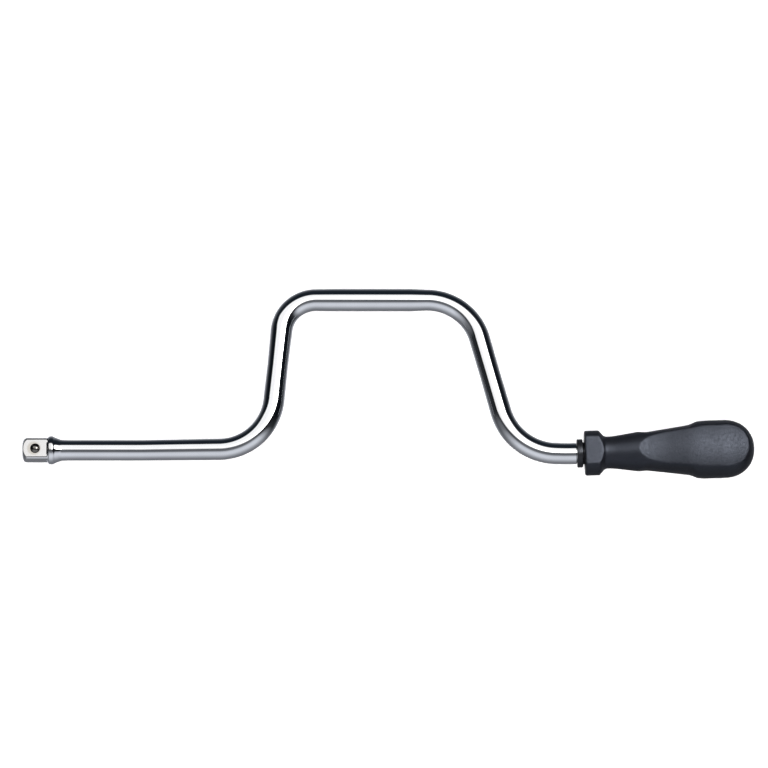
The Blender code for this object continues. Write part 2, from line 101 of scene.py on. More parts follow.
def startRing(name, x, radius, count):      # a ring round the X axis, left in edit mode
    deselectAll()
    bpy.ops.mesh.primitive_circle_add(vertices=count, radius=radius * mm, location=(x * mm, 0, 0),
                                      rotation=(math.pi / 2, math.pi / count, math.pi / 2))
    ring = bpy.context.object
    ring.name = name
    applyTransform(ring)
    bpy.ops.object.mode_set(mode='EDIT')
    bpy.ops.mesh.select_mode(type='VERT')
    bpy.ops.mesh.select_all(action='SELECT')
    return ring


def carryRing(start, heading, stations):    # stations are (distance along heading, radius)
    direction = Vector((math.cos(heading), math.sin(heading), 0))
    (placeBefore, radiusBefore) = stations[0]
    for place, radius in stations[1:]:
        onward = direction * (place - placeBefore) * mm
        bpy.ops.mesh.extrude_region_move(TRANSFORM_OT_translate={"value": onward})
        if radius != radiusBefore:
            ratio = radius / radiusBefore
            bpy.ops.transform.resize(value=(ratio, ratio, ratio),
                                     center_override=start + direction * place * mm)
        (placeBefore, radiusBefore) = (place, radius)


def turnedSolid(name, stations, count):     # a closed turned body round the X axis
    body = startRing(name, stations[0][0], stations[0][1], count)
    bpy.ops.mesh.edge_face_add()
    carryRing(Vector(), 0, stations)
    leaveEdit()
    tidyMesh(body)
    return body


def softCorners(outline, reach, steps=5):   # rounds the inner corners of an outline
    rounded = [Vector(outline[0])]
    for before, corner, after in zip(outline, outline[1:], outline[2:]):
        (before, corner, after) = (Vector(before), Vector(corner), Vector(after))
        legIn = before - corner
        legOut = after - corner
        length = min(reach, 0.5 * legIn.length, 0.5 * legOut.length)
        first = corner + legIn.normalized() * length
        last = corner + legOut.normalized() * length
        for step in range(steps + 1):
            share = step / steps
            rounded.append(first * (1 - share) ** 2 + corner * 2 * share * (1 - share) + last * share ** 2)
    rounded.append(Vector(outline[-1]))
    return [(point[0], point[1]) for point in rounded]


def extrudedOutline(name, outline, width):  # an (x, z) outline drawn point by point, then widened along Y
    deselectAll()
    bpy.ops.mesh.primitive_plane_add(size=1)
    solid = bpy.context.object
    solid.name = name
    bpy.ops.object.mode_set(mode='EDIT')
    bpy.ops.mesh.select_mode(type='VERT')
    bpy.ops.mesh.select_all(action='SELECT')
    bpy.ops.mesh.merge(type='CENTER')
    here = Vector((outline[0][0] * mm, -0.5 * width * mm, outline[0][1] * mm))
    bpy.ops.transform.translate(value=here)
    for x, z in outline[1:]:
        there = Vector((x * mm, -0.5 * width * mm, z * mm))
        bpy.ops.mesh.extrude_region_move(TRANSFORM_OT_translate={"value": there - here})
        here = there
    bpy.ops.mesh.select_all(action='SELECT')
    bpy.ops.mesh.edge_face_add()
    bpy.ops.mesh.extrude_region_move(TRANSFORM_OT_translate={"value": (0, width * mm, 0)})
    leaveEdit()
    tidyMesh(solid)
    return solid


def turnedCopy(piece, angle):               # a copy turned about the X axis
    makeActive(piece)
    bpy.ops.object.duplicate()
    copy = bpy.context.object
    copy.rotation_euler = (angle, 0, 0)
    applyTransform(copy)
    return copy


def smoothShade(piece, angle):
    makeActive(piece)
    bpy.ops.object.shade_smooth_by_angle(angle=math.radians(angle))


def putOnTail(piece):                       # from the handle's own axis to its place on the bar
    piece.location = handlePoint
    piece.rotation_euler = (0, 0, handleTilt)
    applyTransform(piece)


def settle(piece, body, node, material):
    piece.data.materials.clear()
    piece.data.materials.append(material)
    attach(piece, body)
    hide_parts(node)


# materials, all on object coordinates

def newMaterial(name):
    material = bpy.data.materials.new(name)
    material.use_nodes = True
    nodes = material.node_tree.nodes
    return material, nodes, material.node_tree.links, nodes["Principled BSDF"]


def noiseNode(nodes, links, coords, scale, detail=3.0, roughness=0.55):
    noise = nodes.new("ShaderNodeTexNoise")
    noise.inputs["Scale"].default_value = scale
    noise.inputs["Detail"].default_value = detail
    noise.inputs["Roughness"].default_value = roughness
    links.new(coords, noise.inputs["Vector"])
    return noise.outputs["Fac"]


def spread(nodes, links, value, low, high, fromLow=0.3, fromHigh=0.7):
    mapped = nodes.new("ShaderNodeMapRange")
    mapped.inputs["From Min"].default_value = fromLow
    mapped.inputs["From Max"].default_value = fromHigh
    mapped.inputs["To Min"].default_value = low
    mapped.inputs["To Max"].default_value = high
    links.new(value, mapped.inputs["Value"])
    return mapped.outputs["Result"]


def mathNode(nodes, links, operation, first, second=None):
    node = nodes.new("ShaderNodeMath")
    node.operation = operation
    for place, value in enumerate((first, second)):
        if isinstance(value, (int, float)):
            node.inputs[place].default_value = value
        elif value is not None:
            links.new(value, node.inputs[place])
    return node.outputs["Value"]


def rampOf(nodes, links, value, stops):     # a value ramp over -1 to 1
    ramp = nodes.new("ShaderNodeValToRGB")
    elements = ramp.color_ramp.elements
    while len(elements) < len(stops):
        elements.new(0.5)
    for element, (place, level) in zip(elements, stops):
        element.position = 0.5 + 0.5 * place
        element.color = (level, level, level, 1)
    links.new(spread(nodes, links, value, 0.0, 1.0, -1.0, 1.0), ramp.inputs["Fac"])
    return ramp.outputs["Color"]


def twoTone(nodes, links, value, first, second):
    ramp = nodes.new("ShaderNodeValToRGB")
    ramp.color_ramp.elements[0].position = 0.3
    ramp.color_ramp.elements[0].color = (*first, 1)
    ramp.color_ramp.elements[1].position = 0.7
    ramp.color_ramp.elements[1].color = (*second, 1)
    links.new(value, ramp.inputs["Fac"])
    return ramp.outputs["Color"]


def bumpOn(nodes, links, height, distance, strength, before=None):
    bump = nodes.new("ShaderNodeBump")
    bump.inputs["Distance"].default_value = distance
    bump.inputs["Strength"].default_value = strength
    links.new(height, bump.inputs["Height"])
    if before is not None:
        links.new(before, bump.inputs["Normal"])
    return bump.outputs["Normal"]


def metalMaterial(name, look):
    material, nodes, links, shader = newMaterial(name)
    coords = nodes.new("ShaderNodeTexCoord").outputs["Object"]
    shader.inputs["Metallic"].default_value = 1.0
    cloud = noiseNode(nodes, links, coords, look["cloudScale"], 4.0)
    colour = twoTone(nodes, links, cloud, look["dull"], look["bright"])
    fine = noiseNode(nodes, links, coords, look["fineScale"], 5.0, 0.7)
    roughness = spread(nodes, links, fine, look["smooth"], look["rough"])
    if "wearShadeColour" in look:      # a patch round one point, darker, warmer and rougher: partly wear, partly painted shade
        away = nodes.new("ShaderNodeVectorMath")
        away.operation = 'DISTANCE'
        links.new(coords, away.inputs[0])
        away.inputs[1].default_value = look["wearShadeAt"]
        outward = spread(nodes, links, away.outputs["Value"], -1.0, 1.0, 0.0, look["wearShadeReach"])
        wearShadePatch = rampOf(nodes, links, outward, look["wearShadeBy"])
        tint = nodes.new("ShaderNodeMix")
        tint.data_type = 'RGBA'
        links.new(wearShadePatch, tint.inputs["Factor"])
        links.new(colour, tint.inputs["A"])
        tint.inputs["B"].default_value = (*look["wearShadeColour"], 1)
        colour = tint.outputs["Result"]
        dulled = nodes.new("ShaderNodeMath")
        dulled.operation = 'MULTIPLY_ADD'
        links.new(wearShadePatch, dulled.inputs[0])
        dulled.inputs[1].default_value = look["wornRough"]
        links.new(roughness, dulled.inputs[2])
        roughness = dulled.outputs["Value"]
    links.new(colour, shader.inputs["Base Color"])
    links.new(roughness, shader.inputs["Roughness"])
    wave = noiseNode(nodes, links, coords, look["waveScale"], 1.0)
    waved = bumpOn(nodes, links, wave, look["waveDepth"], 1.0)
    links.new(bumpOn(nodes, links, fine, look["fineDepth"], 1.0, waved), shader.inputs["Normal"])
    return material


def plasticMaterial(name, look):
    material, nodes, links, shader = newMaterial(name)
    coords = nodes.new("ShaderNodeTexCoord").outputs["Object"]
    cloud = noiseNode(nodes, links, coords, look["cloudScale"], 4.0)
    links.new(twoTone(nodes, links, cloud, look["dark"], look["light"]), shader.inputs["Base Color"])
    grain = noiseNode(nodes, links, coords, look["grainScale"], 2.0)
    pebble = noiseNode(nodes, links, coords, look["pebbleScale"], 2.0)
    links.new(spread(nodes, links, pebble, look["smooth"], look["rough"]), shader.inputs["Roughness"])
    shader.inputs["Specular IOR Level"].default_value = look["shine"]
    shader.inputs["Specular Tint"].default_value = (*look["sheen"], 1)
    grained = bumpOn(nodes, links, grain, look["grainDepth"], 1.0)
    links.new(bumpOn(nodes, links, pebble, look["pebbleDepth"], 1.0, grained), shader.inputs["Normal"])
    return material


chromePlate = metalMaterial("chromePlate", {
    "dull": (0.79, 0.80, 0.82), "bright": (0.84, 0.85, 0.87), "cloudScale": 60,
    "smooth": 0.06, "rough": 0.10, "fineScale": 1500, "fineDepth": 0.0000004,
    "waveScale": 38, "waveDepth": 0.000020,
    # painted shade, partly wear: round the detent hole the plating is darkened and warmed, fully at the hole's
    # lip and by about a third over the square's top, standing in for the shading of a dished rim and a dimmer
    # reflection there
    "wearShadeColour": (0.58, 0.552, 0.51), "wearShadeAt": (0.0070, 0, 0.00635), "wearShadeReach": 0.012, "wornRough": 0.10,
    "wearShadeBy": [(-1.0, 1.0), (-0.45, 1.0), (-0.25, 0.40), (0.35, 0.36), (0.65, 0.36), (0.8, 0.0),
               (1.0, 0.0)]})
# painted shade: the ball's colour is kept very dark, so little of the pale card shows in it, standing in for
# the shade of the hole it sits in
ballPaintedShade = metalMaterial("ballPaintedShade", {
    "dull": (0.17, 0.16, 0.145), "bright": (0.22, 0.21, 0.19), "cloudScale": 300,
    "smooth": 0.08, "rough": 0.16, "fineScale": 3000, "fineDepth": 0.0000006,
    "waveScale": 200, "waveDepth": 0.000002})
springWire = metalMaterial("springWire", {
    "dull": (0.40, 0.40, 0.41), "bright": (0.48, 0.48, 0.49), "cloudScale": 400,
    "smooth": 0.22, "rough": 0.34, "fineScale": 4000, "fineDepth": 0.000001,
    "waveScale": 300, "waveDepth": 0.000003})
plainWasher = metalMaterial("plainWasher", {
    "dull": (0.50, 0.50, 0.51), "bright": (0.59, 0.59, 0.60), "cloudScale": 250,
    "smooth": 0.25, "rough": 0.40, "fineScale": 3500, "fineDepth": 0.000001,
    "waveScale": 200, "waveDepth": 0.000003})
blackAcetal = plasticMaterial("blackAcetal", {
    "dark": (0.010, 0.010, 0.012), "light": (0.015, 0.015, 0.017), "cloudScale": 250,
    "smooth": 0.28, "rough": 0.38, "grainScale": 4000, "grainDepth": 0.000004,
    "pebbleScale": 900, "pebbleDepth": 0.000006, "shine": 0.42, "sheen": (0.85, 0.90, 1.0)})
mouldedGrip = plasticMaterial("mouldedGrip", {
    "dark": (0.006, 0.0065, 0.009), "light": (0.0085, 0.0092, 0.0125), "cloudScale": 120,
    "smooth": 0.40, "rough": 0.52, "grainScale": 2600, "grainDepth": 0.000030,
    "pebbleScale": 700, "pebbleDepth": 0.000070, "shine": 0.50, "sheen": (0.76, 0.83, 1.0)})
print("materials made")


# crank bar: square drive, bead, bent round bar, shoulder and journal

bar = {     # lengths in mm, angles in degrees
    "ringPoints": 96, "barRadius": 6.1, "bendSteps": 34, "leastSteps": 6, "smoothAngle": 32,
    "squareHalf": 6.35, "squareLength": 14.35, "squareSpare": 1, "cornerRadius": 1.7, "cornerSteps": 11,
    "endFlatRadius": 3.6, "endRound": 4.4, "endReach": 8.4, "endSteps": 12, "endLength": 30, "endSoft": 0.2,
    "endCuts": 9, "endSlack": 0.1, "longEdge": 3,
    "holeRadius": 3.375, "holeDepth": 9.952, "lipRadius": 2.9, "lipFoot": -1.1, "lipTop": -0.5,
    "holeSpare": 3, "holeSoft": 0.25, "holePoints": 64, "ballFromEnd": 7.7,
    "bead": [(15.3, 7.9), (15.9, 8.3), (17.9, 8.42), (19.0, 7.72), (22.9, 6.22), (27.0, 6.1)],
    "beadReach": 0.9, "beadSteps": 6,
    "leanFrom": 68.0, "lean": 0.78, "leanBend": 300, "leanRun": 44.0,
    "nearAngle": 84.1, "nearFoot": 32.8, "nearTop": 20.5, "throw": 91.0, "gripLength": 65.8, "gripRun": 10,
    "farAngle": 74.3, "farTop": 32.5, "farFoot": 34.6, "tailLean": 1.5, "tailBend": 160,
    "footRadius": 6.35, "legRadius": 6.15, "topRadius": 6.55, "farTopRadius": 6.3, "gripRadius": 6.7,
    "tailRadius": 6.3, "shoulder": -5.1,
    "tail": [(-5.1, 6.3), (-4.8, 5.9), (-4.8, 5.0), (22.1, 5.0), (22.1, 4.4), (23.5, 4.4), (23.5, 5.0),
             (62.5, 5.0), (63.3, 4.2)],
}

deselectAll()
squareMiddle = 0.5 * bar["squareLength"] - 0.5 * bar["squareSpare"]
bpy.ops.mesh.primitive_cube_add(size=1, location=(squareMiddle * mm, 0, 0))
square = bpy.context.object
square.name = "squareDrive"
squareWidth = 2 * bar["squareHalf"] * mm
square.scale = ((bar["squareLength"] + bar["squareSpare"]) * mm, squareWidth, squareWidth)
applyTransform(square)
longEdges = []
for edge in square.data.edges:
    ends = [square.data.vertices[v].co for v in edge.vertices]
    longEdges.append(abs(ends[0].x - ends[1].x) > bar["longEdge"] * mm)
bpy.ops.object.mode_set(mode='EDIT')
bpy.ops.mesh.select_all(action='DESELECT')
bpy.ops.mesh.select_mode(type='EDGE')
leaveEdit()
for edge, isLong in zip(square.data.edges, longEdges):
    edge.select = isLong
bpy.ops.object.mode_set(mode='EDIT')
bpy.ops.mesh.bevel(offset=bar["cornerRadius"] * mm, segments=bar["cornerSteps"], profile=0.5,
                   affect='EDGES', clamp_overlap=False)
leaveEdit()

endStations = []
for step in range(bar["endSteps"] + 1):
    turn = 0.5 * math.pi * step / bar["endSteps"]
    endStations.append((bar["endRound"] * (1 - math.cos(turn)),
                        bar["endFlatRadius"] + (bar["endReach"] - bar["endFlatRadius"]) * math.sin(turn)))
endStations = softCorners(endStations + [(bar["endLength"], bar["endReach"])], bar["endSoft"], 2)
turnedEnd = turnedSolid("turnedEnd", endStations, bar["ringPoints"])
cutWith(square, turnedEnd, 'INTERSECT')

holeOutline = [(-bar["holeDepth"], bar["holeRadius"]), (bar["lipFoot"], bar["holeRadius"]),
               (bar["lipTop"], bar["lipRadius"]), (bar["holeSpare"], bar["lipRadius"])]
hole = turnedSolid("detentHole", softCorners(holeOutline, bar["holeSoft"], 3), bar["holePoints"])
hole.rotation_euler = (0, -math.pi / 2, 0)
hole.location = (bar["ballFromEnd"] * mm, 0, bar["squareHalf"] * mm)
applyTransform(hole)
tidyMesh(hole)
cutWith(square, hole)
tidyMesh(square)

crankBar = startRing("crankBar", bar["bead"][0][0], bar["bead"][0][1], bar["ringPoints"])
beadOutline = softCorners(bar["bead"], bar["beadReach"], bar["beadSteps"])
carryRing(Vector(), 0, beadOutline + [(bar["leanFrom"], bar["barRadius"])])
nearTurn = math.radians(bar["nearAngle"])
farTurn = math.radians(bar["farAngle"])
lean = math.radians(bar["lean"])            # the straight ends lean gently into the foot bends
tailLean = math.radians(bar["tailLean"])
here = Vector((bar["leanFrom"], 0, 0)) * mm


def bendBar(point, heading, radius, turn):  # spins the selected ring round a bend and gives the new end
    side = 1 if turn > 0 else -1
    centre = point + Vector((-math.sin(heading), math.cos(heading), 0)) * radius * side * mm
    steps = max(bar["leastSteps"], round(bar["bendSteps"] * abs(turn)))
    bpy.ops.mesh.spin(steps=steps, dupli=False, angle=-turn, center=centre, axis=(0, 0, 1))
    ahead = heading + turn
    return centre - Vector((-math.sin(ahead), math.cos(ahead), 0)) * radius * side * mm, ahead


def straightBar(point, heading, length, first=1, last=1):
    carryRing(point, heading, [(0, first), (length, last)])
    return point + Vector((math.cos(heading), math.sin(heading), 0)) * length * mm


here, heading = bendBar(here, 0, bar["leanBend"], lean)
here = straightBar(here, heading, bar["leanRun"], bar["barRadius"], bar["footRadius"])
here, heading = bendBar(here, heading, bar["nearFoot"], nearTurn - lean)
nearRise = here.y / mm + bar["nearTop"] * (1 - math.cos(nearTurn))
nearStraight = (bar["throw"] - nearRise) / math.sin(nearTurn)
here = straightBar(here, heading, 0.5 * nearStraight, bar["footRadius"], bar["legRadius"])
here = straightBar(here, heading, 0.5 * nearStraight, bar["legRadius"], bar["topRadius"])
here, heading = bendBar(here, heading, bar["nearTop"], -nearTurn)
here = straightBar(here, heading, bar["gripRun"], bar["topRadius"], bar["gripRadius"])
here = straightBar(here, heading, bar["gripLength"] - 2 * bar["gripRun"])
here = straightBar(here, heading, bar["gripRun"], bar["gripRadius"], bar["farTopRadius"])
here, heading = bendBar(here, heading, bar["farTop"], -farTurn)
tailEnd = handlePoint + Vector((math.cos(handleTilt), math.sin(handleTilt), 0)) * bar["shoulder"] * mm
tailBend = bar["tailBend"] * mm
tailCentre = tailEnd + Vector((-math.sin(handleTilt), math.cos(handleTilt), 0)) * tailBend
tailStart = tailCentre - Vector((math.sin(tailLean), math.cos(tailLean), 0)) * tailBend
backTurn = farTurn - tailLean
ahead = Vector((math.cos(heading), math.sin(heading), 0))
tailAhead = Vector((math.cos(tailLean), -math.sin(tailLean), 0))
tangent = bar["farFoot"] * math.tan(0.5 * backTurn) * mm
gap = tailStart - here
cross = ahead.x * tailAhead.y - ahead.y * tailAhead.x
along = (gap.x * tailAhead.y - gap.y * tailAhead.x) / cross
farStraight = (along - tangent) / mm
here = straightBar(here, heading, 0.5 * farStraight, bar["farTopRadius"], bar["legRadius"])
here = straightBar(here, heading, 0.5 * farStraight, bar["legRadius"], bar["footRadius"])
here, heading = bendBar(here, heading, bar["farFoot"], backTurn)
tailStraight = (tailStart - here).dot(tailAhead) / mm
assert tailStraight > 0, "the far foot bend runs past the tail"
here = straightBar(here, heading, tailStraight, bar["footRadius"], bar["tailRadius"])
here, heading = bendBar(here, heading, bar["tailBend"], tailLean + handleTilt)
carryRing(handlePoint, handleTilt, bar["tail"])
bpy.ops.mesh.edge_face_add()
leaveEdit()
print("bar drawn to", here, "shoulder at", tailEnd)
assert (here - tailEnd).length < 0.01 * mm, "the bar misses its shoulder"

squareEnd = (bar["squareLength"] - bar["endSlack"]) * mm     # the square opens here and is bridged to the bead
enterEdit(square)
bpy.ops.mesh.select_mode(type='FACE')
bpy.ops.mesh.select_all(action='DESELECT')
leaveEdit()
for face in square.data.polygons:
    face.select = face.normal.x > 0.99 and face.center.x > squareEnd
bpy.ops.object.mode_set(mode='EDIT')
bpy.ops.mesh.delete(type='ONLY_FACE')
bpy.ops.mesh.select_mode(type='EDGE')
bpy.ops.mesh.select_all(action='DESELECT')
leaveEdit()
for edge in square.data.edges:
    ends = [square.data.vertices[v].co for v in edge.vertices]
    isLong = (ends[0] - ends[1]).length > bar["longEdge"] * mm
    edge.select = min(ends[0].x, ends[1].x) > squareEnd and isLong
bpy.ops.object.mode_set(mode='EDIT')
bpy.ops.mesh.subdivide(number_cuts=bar["endCuts"])
leaveEdit()
makeActive(crankBar)
square.select_set(True)
bpy.ops.object.join()
enterEdit(crankBar)
bpy.ops.mesh.select_mode(type='EDGE')
bpy.ops.mesh.select_all(action='DESELECT')
bpy.ops.mesh.select_non_manifold(extend=False, use_wire=False, use_boundary=True, use_multi_face=False,
                                 use_non_contiguous=False, use_verts=False)
bpy.ops.mesh.bridge_edge_loops()
leaveEdit()
tidyMesh(crankBar)
smoothShade(crankBar, bar["smoothAngle"])
applyModifier(crankBar, 'WEIGHTED_NORMAL', keep_sharp=True, weight=80)
settle(crankBar, "crank", "crank_bar", chromePlate)
print("crank bar", len(crankBar.data.polygons), "faces")


# detent ball

ball = {"radius": 3.175, "fromEnd": 7.7, "top": 7.65, "cuts": 9, "smoothAngle": 60}
deselectAll()
bpy.ops.mesh.primitive_cube_add(size=ball["radius"] * mm)
detentBall = bpy.context.object
detentBall.name = "detentBall"
bpy.ops.object.mode_set(mode='EDIT')
bpy.ops.mesh.select_all(action='SELECT')
bpy.ops.mesh.subdivide(number_cuts=ball["cuts"])
bpy.ops.transform.tosphere(value=1.0)
leaveEdit()
ratio = ball["radius"] * mm / max(v.co.length for v in detentBall.data.vertices)
detentBall.scale = (ratio, ratio, ratio)
detentBall.location = (ball["fromEnd"] * mm, 0, (ball["top"] - ball["radius"]) * mm)
applyTransform(detentBall)
smoothShade(detentBall, ball["smoothAngle"])
settle(detentBall, "detent", "detent_ball", ballPaintedShade)
print("detent ball", len(detentBall.data.polygons), "faces")


# front bush with its flange

bush = {
    "outline": [(20.7, 5.2), (-4.5, 5.2), (-4.5, 8.42), (-1.1, 8.42), (-1.1, 6.6), (20.7, 6.6),
                (20.7, 5.2)],
    "edge": 0.45, "edgeSteps": 5, "points": 96, "smoothAngle": 40,
}
frontBush = startRing("frontBush", *bush["outline"][0], bush["points"])
carryRing(Vector(), 0, softCorners(bush["outline"], bush["edge"], bush["edgeSteps"]))
leaveEdit()
tidyMesh(frontBush)
putOnTail(frontBush)
smoothShade(frontBush, bush["smoothAngle"])
settle(frontBush, "handle", "front_bush", blackAcetal)
print("front bush", len(frontBush.data.polygons), "faces")


# moulded handle: a turned body with two broad flats, side hollows and a flatted collar

grip = {
    "points": 128, "trimPoints": 256, "voxel": 0.42, "smoothing": 0.5, "smoothings": 5, "smoothAngle": 60,
    "body": [(0.0, 12.75), (0.6, 13.3), (8.5, 13.3), (9.0, 12.75), (11.8, 9.5), (16.4, 9.5), (69.1, 17.2),
             (82.2, 17.2)],
    "bodyReach": [0.5, 0.5, 0.6, 1.3, 3.0, 3.0, 5.0], "bodySpare": 4,
    "domeLength": 18.05, "domeSteps": 24, "domeTip": 0.004, "fullness": 2.15,
    "collarFlat": 10.4, "collarFlatEnd": 11.1, "collarSpare": 4, "collarSlope": 3.5, "collarHeight": 22,
    "collarWidth": 44,
    "flatAxis": 43.8, "flatReach": [0.5, 0.5, 1.0, 6.0, 5.0, 5.0],
    "flat": [(-8, 33), (25, 33), (26, 12.8), (36.3, 11.03), (46.0, 11.03), (64.5, 13.27), (84.5, 13.27),
             (105.3, 9.42)],
    "hollowAxis": 5.45, "hollowReach": [0.5, 0.5, 1.6, 1.6, 1.6, 1.0, 1.0],
    "hollow": [(-8, 24), (30.5, 24), (30.5, 13.5), (31.6, 11.6), (36.6, 11.3), (61.9, 14.8), (66.9, 16.95),
               (68, 24), (108, 24)],
    "boreSpare": 5, "boreStep": 28.8, "frontBore": 6.9, "rearBore": 6.7, "boreEnd": 65.4, "borePoints": 64,
}


def softOutline(corners, reaches, steps=6):     # rounds each inner corner to its own reach
    outline = [corners[0]]
    for place, reach in enumerate(reaches):
        outline += softCorners(corners[place:place + 3], reach, steps)[1:-1]
    return outline + [corners[-1]]


def keepInside(piece, heights, shift):          # trims one side to a turned form off the handle's axis
    away = math.hypot(*shift)
    form = turnedSolid("trim", [(x, height + away) for x, height in heights], grip["trimPoints"])
    form.location = (0, shift[0] * mm, shift[1] * mm)
    applyTransform(form)
    cutWith(piece, form, 'INTERSECT')


(domeStart, domeRadius) = grip["body"][-1]
bodyCorners = grip["body"] + [(domeStart + grip["bodySpare"], domeRadius)]
bodyOutline = softOutline(bodyCorners, grip["bodyReach"])[:-1]
for step in range(1, grip["domeSteps"] + 1):
    turn = 0.5 * math.pi * step / grip["domeSteps"]
    rise = max(math.cos(turn), grip["domeTip"]) ** (2 / grip["fullness"])
    run = math.sin(turn) ** (2 / grip["fullness"])
    bodyOutline.append((domeStart + grip["domeLength"] * run, domeRadius * rise))
handleGrip = turnedSolid("handleGrip", bodyOutline, grip["points"])

hollowOutline = softOutline(grip["hollow"], grip["hollowReach"])
flatOutline = softOutline(grip["flat"], grip["flatReach"])
for side in (1, -1):
    keepInside(handleGrip, hollowOutline, (-side * grip["hollowAxis"], 0))
    keepInside(handleGrip, flatOutline, (0, -side * grip["flatAxis"]))
collarOutline = [(-grip["collarSpare"], grip["collarFlat"]), (grip["collarFlatEnd"], grip["collarFlat"]),
                 (grip["collarFlatEnd"] + grip["collarSlope"], grip["collarHeight"]),
                 (-grip["collarSpare"], grip["collarHeight"])]
upperCollar = extrudedOutline("upperCollar", collarOutline, grip["collarWidth"])
lowerCollar = turnedCopy(upperCollar, math.pi)
boreOutline = [(-grip["boreSpare"], grip["frontBore"]), (grip["boreStep"], grip["frontBore"]),
               (grip["boreStep"], grip["rearBore"]), (grip["boreEnd"], grip["rearBore"])]
bore = turnedSolid("bore", boreOutline, grip["borePoints"])
for cutter in (upperCollar, lowerCollar, bore):
    cutWith(handleGrip, cutter)
applyModifier(handleGrip, 'REMESH', mode='VOXEL', voxel_size=grip["voxel"] * mm, use_smooth_shade=True)
applyModifier(handleGrip, 'SMOOTH', factor=grip["smoothing"], iterations=grip["smoothings"])
putOnTail(handleGrip)
tidyMesh(handleGrip)
smoothShade(handleGrip, grip["smoothAngle"])
settle(handleGrip, "handle", "handle_grip", mouldedGrip)
print("handle", len(handleGrip.data.polygons), "faces")


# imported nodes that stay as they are

packedLooks = {"detent_spring": springWire, "retaining_ring": springWire, "thrust_washer": plainWasher,
               "end_disc": plainWasher, "rear_bush": blackAcetal}
for node, material in packedLooks.items():
    frame["nodes"][node].data.materials.clear()
    frame["nodes"][node].data.materials.append(material)
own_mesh(frame["nodes"]["detent_spring"])


# studio: pale floor, overhead softbox, pale card on the near side, dark surround

studio = {      # aim and frame width in mm, the rest in metres
    "tilt": 78.0, "aim": (213.4, 40.05, 0.0), "distance": 3.0, "frameWidth": 454.9, "sensor": 36, "clipEnd": 20,
    "floorDrop": 0.85, "floorSize": 6, "floorColour": (0.85, 0.85, 0.85), "floorGlow": 0.72, "ambient": 0.12,
    "softFacing": (0.05, 0.45, 0.89), "softShift": -0.2, "softSquare": 2.8, "softWide": 1.1,
    "softTall": 1.11, "softUp": 0.43, "softFade": 0.11, "softFoot": 0.10, "softColour": (1.0, 0.995, 0.99),
    "softBase": 1.12, "hotPeak": 22.0, "hotAt": (-0.70, 0.60), "hotSpread": (0.20, 0.15),
    "roomWidth": 4.4, "roomHeight": 2.5, "roomMiddle": 0.85, "roomBack": 0.3, "roomLift": 0.402,
    "roomOpening": (0.5, 0.44), "sideBlend": 0.2,
    "cardByHeight": [(-1.0, 0.14), (-0.87, 0.17), (-0.53, 0.22), (-0.24, 0.36), (0.035, 0.55), (0.26, 0.72),
                     (0.47, 0.79), (0.66, 0.76), (0.78, 0.58), (0.86, 0.20), (0.92, 0.14), (1.0, 0.14)],
    "cardByLeft": [(-1.0, 0.0), (-0.1, 0.0), (0.1, 0.03), (0.27, 0.17), (0.42, 0.25), (0.6, 0.6),
                   (0.77, 1.0), (1.0, 1.0)],
    "cardByRight": [(-1.0, 0.0), (0.2, 0.0), (0.42, 0.04), (0.52, 0.3), (0.66, 0.85), (0.75, 1.0),
                    (1.0, 1.0)],
    "rimByHeight": [(-1.0, 0.9), (-0.8, 0.5), (-0.53, 0.21), (-0.25, 0.05), (0.0, 0.008), (0.2, 0.0),
                    (1.0, 0.0)],
    "rimBySide": [(-1.0, 0.9), (-0.3, 1.0), (0.2, 0.9), (0.6, 0.12), (1.0, 0.05)],
    "darkBySide": [(-1.0, 0.022), (-0.4, 0.010), (0.0, 0.006), (1.0, 0.006)],
    "cardColour": (0.90, 0.93, 1.0), "darkColour": (0.45, 0.68, 1.0),
}
aim = Vector(studio["aim"]) * mm
back = Vector((0, -math.cos(math.radians(studio["tilt"])), math.sin(math.radians(studio["tilt"]))))


def glowMaterial(name, colour, strength):
    material = bpy.data.materials.new(name)
    material.use_nodes = True
    nodes = material.node_tree.nodes
    nodes.remove(nodes["Principled BSDF"])
    glow = nodes.new("ShaderNodeEmission")
    glow.inputs["Color"].default_value = (*colour, 1)
    glow.inputs["Strength"].default_value = strength
    material.node_tree.links.new(glow.outputs["Emission"], nodes["Material Output"].inputs["Surface"])
    return material


def plainRays(nodes, links):    # 1 for camera, glossy and transmission rays
    path = nodes.new("ShaderNodeLightPath")
    seen = mathNode(nodes, links, 'MAXIMUM', path.outputs["Is Camera Ray"], path.outputs["Is Glossy Ray"])
    return mathNode(nodes, links, 'MAXIMUM', seen, path.outputs["Is Transmission Ray"])


deselectAll()
floorHeight = -studio["floorDrop"]
floorMiddle = aim - back * (studio["floorDrop"] / back.z)
bpy.ops.mesh.primitive_plane_add(size=studio["floorSize"],
                                 location=(floorMiddle.x, floorMiddle.y, floorHeight))
floor = bpy.context.object
floor.name = "floor"
floorPaint = bpy.data.materials.new("floorPaint")
floorPaint.use_nodes = True
nodes = floorPaint.node_tree.nodes
links = floorPaint.node_tree.links
nodes.remove(nodes["Principled BSDF"])
matte = nodes.new("ShaderNodeBsdfDiffuse")
matte.inputs["Color"].default_value = (*studio["floorColour"], 1)
glow = nodes.new("ShaderNodeEmission")
glow.inputs["Color"].default_value = (1, 1, 1, 1)
floorLevel = spread(nodes, links, plainRays(nodes, links), 0.0, studio["floorGlow"], 0.0, 1.0)
links.new(floorLevel, glow.inputs["Strength"])
both = nodes.new("ShaderNodeAddShader")
links.new(matte.outputs["BSDF"], both.inputs[0])
links.new(glow.outputs["Emission"], both.inputs[1])
links.new(both.outputs["Shader"], nodes["Material Output"].inputs["Surface"])
floor.data.materials.append(floorPaint)

